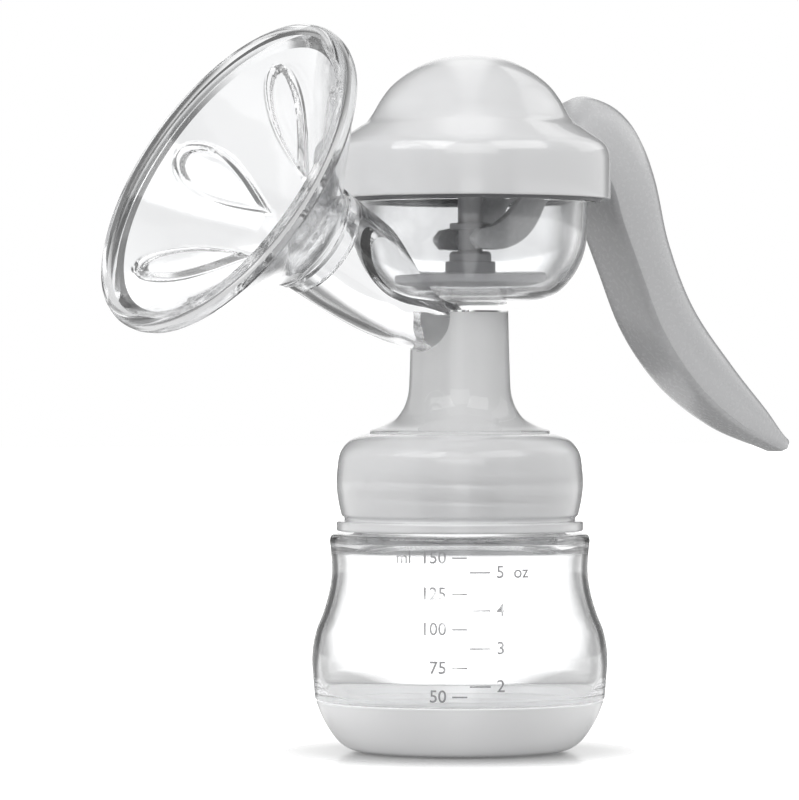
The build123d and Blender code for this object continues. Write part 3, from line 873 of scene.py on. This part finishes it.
def makeHandle():
    spans = handle["spans"]
    front, back = smooth(handle["front"], spans), smooth(handle["back"], spans)
    widths = smooth([(i, half) for i, half in enumerate(handle["half"])], spans)
    shape = bmesh.new()
    rings = []
    depths = smooth([(i, depth) for i, depth in enumerate(handle["backDepth"])], spans)
    for near, far, (step, half), (step, depth) in zip(front, back, widths, depths):
        rings.append([shape.verts.new(point) for point in gripSection(near, far, half, depth)])
    tipX, tipZ = handle["tip"]
    last = [Vector(vertex.co) for vertex in rings[-1]]
    middle = sum(last, Vector()) / len(last)
    for shrink, reach in handle["tipRings"]:
        goal = middle.lerp(Vector((tipX, 0, tipZ)), reach)
        rings.append([shape.verts.new(goal + (point - middle) * shrink) for point in last])
    for low, high in zip(rings, rings[1:]):
        for i in range(len(low)):
            j = (i + 1) % len(low)
            shape.faces.new([low[i], low[j], high[j], high[i]])
    shape.faces.new(list(reversed(rings[0])))
    shape.faces.new(rings[-1])
    bmesh.ops.triangulate(shape, faces=[face for face in shape.faces if len(face.verts) > 4])
    grip = finishMesh("squeeze_grip", shape, upright)
    cheekLine = smooth(handle["lower"]) + handle["bridge"] + smooth(handle["upper"])
    cheekLine += smooth([handle["upper"][-1], handle["nose"], handle["lower"][0]], 5)[1:-1]
    extras = []
    for side in (-1, 1):
        low, high = sorted((side * handle["cheekInner"], side * handle["cheekOuter"]))
        extras.append(plate("cheek", cheekLine, low, high, 0.4))
        low, high = sorted((side * handle["padInner"], side * (handle["cheekInner"] + handle["padSunk"])))
        extras.append(roundPlate("pad", handle["pad"], handle["padRadius"], low, high, 0.3, count=40))
    combine(grip, extras, "UNION")
    dress(grip, handlePaintedShadePlastic, "lever", "white_plastic", "squeeze_handle", "handle_cover")


makeHandle()
print("handle made")

# ---- CAD nodes that stay, with their finishes

kept = {
    "vent_valve": whiteSilicone, "bottle_gasket": whiteSilicone, "duckbill_valve": whiteSilicone,
    "pivot_pin": pinSteel,
}
for name, material in kept.items():
    mesh = nodes[name].data
    if not mesh.materials:
        mesh.materials.append(material)
    for slot in range(len(mesh.materials)):
        mesh.materials[slot] = material

# ---- camera, floor and light

view = dict(azimuth=-35.0, distance=1.12, height=0.0837, slide=-0.0144, lens=210.8, sensor=36)
toward = Vector((sin(radians(view["azimuth"])), -cos(radians(view["azimuth"])), 0))
rightward = Vector((-toward.y, toward.x, 0))


def makeCamera():
    lens = bpy.data.cameras.new("camera")
    lens.lens = view["lens"]
    lens.sensor_width = view["sensor"]
    lens.clip_start = 0.01
    camera = bpy.data.objects.new("camera", lens)
    bpy.context.scene.collection.objects.link(camera)
    camera.location = Vector((0, 0, view["height"])) + toward * view["distance"] + rightward * view["slide"]
    camera.rotation_euler = (-toward).to_track_quat("-Z", "Y").to_euler()
    bpy.context.scene.camera = camera


def makeLight(name, azimuth, elevation, distance, size, power):
    # a softbox; azimuth is measured from the camera's side, to the right
    lamp = bpy.data.lights.new(name, "AREA")
    lamp.shape = "RECTANGLE"
    lamp.size, lamp.size_y = size
    lamp.energy = power
    light = bpy.data.objects.new(name, lamp)
    bpy.context.scene.collection.objects.link(light)
    turn, tilt = radians(azimuth), radians(elevation)
    direction = (toward * cos(turn) + rightward * sin(turn)) * cos(tilt) + Vector((0, 0, sin(tilt)))
    light.location = Vector((0, 0, studio["aimHeight"])) + direction * distance
    light.rotation_euler = direction.to_track_quat("Z", "Y").to_euler()


studio = dict(
    bands=[(0.10, 1.0), (0.19, 0.14), (0.54, 0.14), (0.68, 0.85)], frontLevel=0.5,
    frontDepth=-0.6, backDepth=0.7, aimHeight=0.1,
    floorHalf=6.0, floorDrop=0.0002, shadeFrom=0.030, shadeTo=0.066, nearTone=0.50, nearGlow=0.08,
)


def sideBands(tree, direction):
    # white behind and in front, with a dark upright band each side that draws the edges of clear parts
    across = addNode(tree, "ShaderNodeVectorMath", {0: direction}, {1: tuple(rightward)},
                     operation="DOT_PRODUCT")
    side = addNode(tree, "ShaderNodeMath", {0: across.outputs["Value"]}, operation="ABSOLUTE")
    bands = addNode(tree, "ShaderNodeValToRGB", {"Fac": side.outputs[0]})
    ramp = bands.color_ramp
    for index, (position, grey) in enumerate(studio["bands"]):
        stop = ramp.elements[index] if index < 2 else ramp.elements.new(position)
        stop.position = position
        stop.color = (grey, grey, grey, 1)
    return bands.outputs["Color"]


def seenPlain(tree, level):
    # the camera sees plain white; only the clear parts and reflections see the bands
    direct = addNode(tree, "ShaderNodeLightPath").outputs["Is Camera Ray"]
    return addNode(tree, "ShaderNodeMath", {0: level, 1: direct}, operation="MAXIMUM").outputs[0]


def makeFloor():
    half, drop = studio["floorHalf"], studio["floorDrop"]
    corners = [(-half, -half, -drop), (half, -half, -drop), (half, half, -drop), (-half, half, -drop)]
    mesh = bpy.data.meshes.new("studio_floor")
    mesh.from_pydata(corners, [], [(0, 1, 2, 3)])
    floor = bpy.data.objects.new("studio_floor", mesh)
    bpy.context.scene.collection.objects.link(floor)
    finish = Finish("pale_floor")
    # painted contact shadow: from shadeFrom to shadeTo round the object's foot, the floor's glow fades from
    # plain white down to nearGlow on a nearTone base, so the floor is painted darker there; real shadows also
    # fall on this near part
    reach = finish.node("ShaderNodeVectorMath", {"operation": "LENGTH"}, {0: finish.place}, "Value")
    away = finish.node("ShaderNodeMapRange", {"interpolation_type": "SMOOTHSTEP"},
                       {"Value": reach, "From Min": studio["shadeFrom"], "From Max": studio["shadeTo"]})
    direction = finish.node("ShaderNodeVectorMath", {"operation": "NORMALIZE"}, {0: finish.place})
    glow = Wire(finish, seenPlain(finish.tree, sideBands(finish.tree, direction.socket)))
    near = (studio["nearTone"],) * 3
    finish.set(Base_Color=finish.tint(away, near, (0.0, 0.0, 0.0)), Roughness=0.16, Specular_IOR_Level=0.3,
               Emission_Strength=1.0,
               Emission_Color=finish.node("ShaderNodeMix", {"data_type": "RGBA"},
                                          {0: away, 6: (*[studio["nearGlow"]] * 3, 1), 7: glow}, 2))
    mesh.materials.append(finish.material)


def makeWorld():
    world = bpy.data.worlds.new("studio")
    world.use_nodes = True
    tree = world.node_tree
    where = addNode(tree, "ShaderNodeTexCoord").outputs["Generated"]
    behind = addNode(tree, "ShaderNodeVectorMath", {0: where}, {1: tuple(-toward)},
                     operation="DOT_PRODUCT")
    depth = addNode(tree, "ShaderNodeMapRange", {"Value": behind.outputs["Value"]},
                    {"From Min": studio["frontDepth"], "From Max": studio["backDepth"],
                     "To Min": studio["frontLevel"], "To Max": 1.0})
    shade = addNode(tree, "ShaderNodeMath", {0: depth.outputs["Result"], 1: sideBands(tree, where)},
                    operation="MULTIPLY")
    tree.links.new(seenPlain(tree, shade.outputs[0]), tree.nodes["Background"].inputs["Color"])
    bpy.context.scene.world = world


makeCamera()
makeFloor()
makeWorld()
for lamp in (
    # name, azimuth, elevation, distance, size, power
    ("top_softbox", 180, 80, 0.9, (1.2, 1.2), 1.2),
    ("right_softbox", 125, 36, 0.8, (0.7, 0.6), 0.8),
    ("left_fill", -70, 8, 1.0, (0.9, 0.9), 0.7),
    ("front_softbox", 0, 26, 0.9, (0.7, 0.5), 1.6),
    ("front_left_softbox", -46, 38, 0.8, (0.66, 0.42), 2.8),
    ("front_right_softbox", 46, 38, 0.8, (0.58, 0.42), 1.6),
):
    makeLight(*lamp)
scene = bpy.context.scene
scene.view_settings.view_transform = "Standard"
scene.cycles.max_bounces = 28
scene.cycles.transmission_bounces = 28
scene.cycles.glossy_bounces = 28
scene.cycles.diffuse_bounces = 6
scene.cycles.caustics_refractive = True
scene.cycles.caustics_reflective = False
scene.cycles.transparent_max_bounces = 24
print("camera and light made")
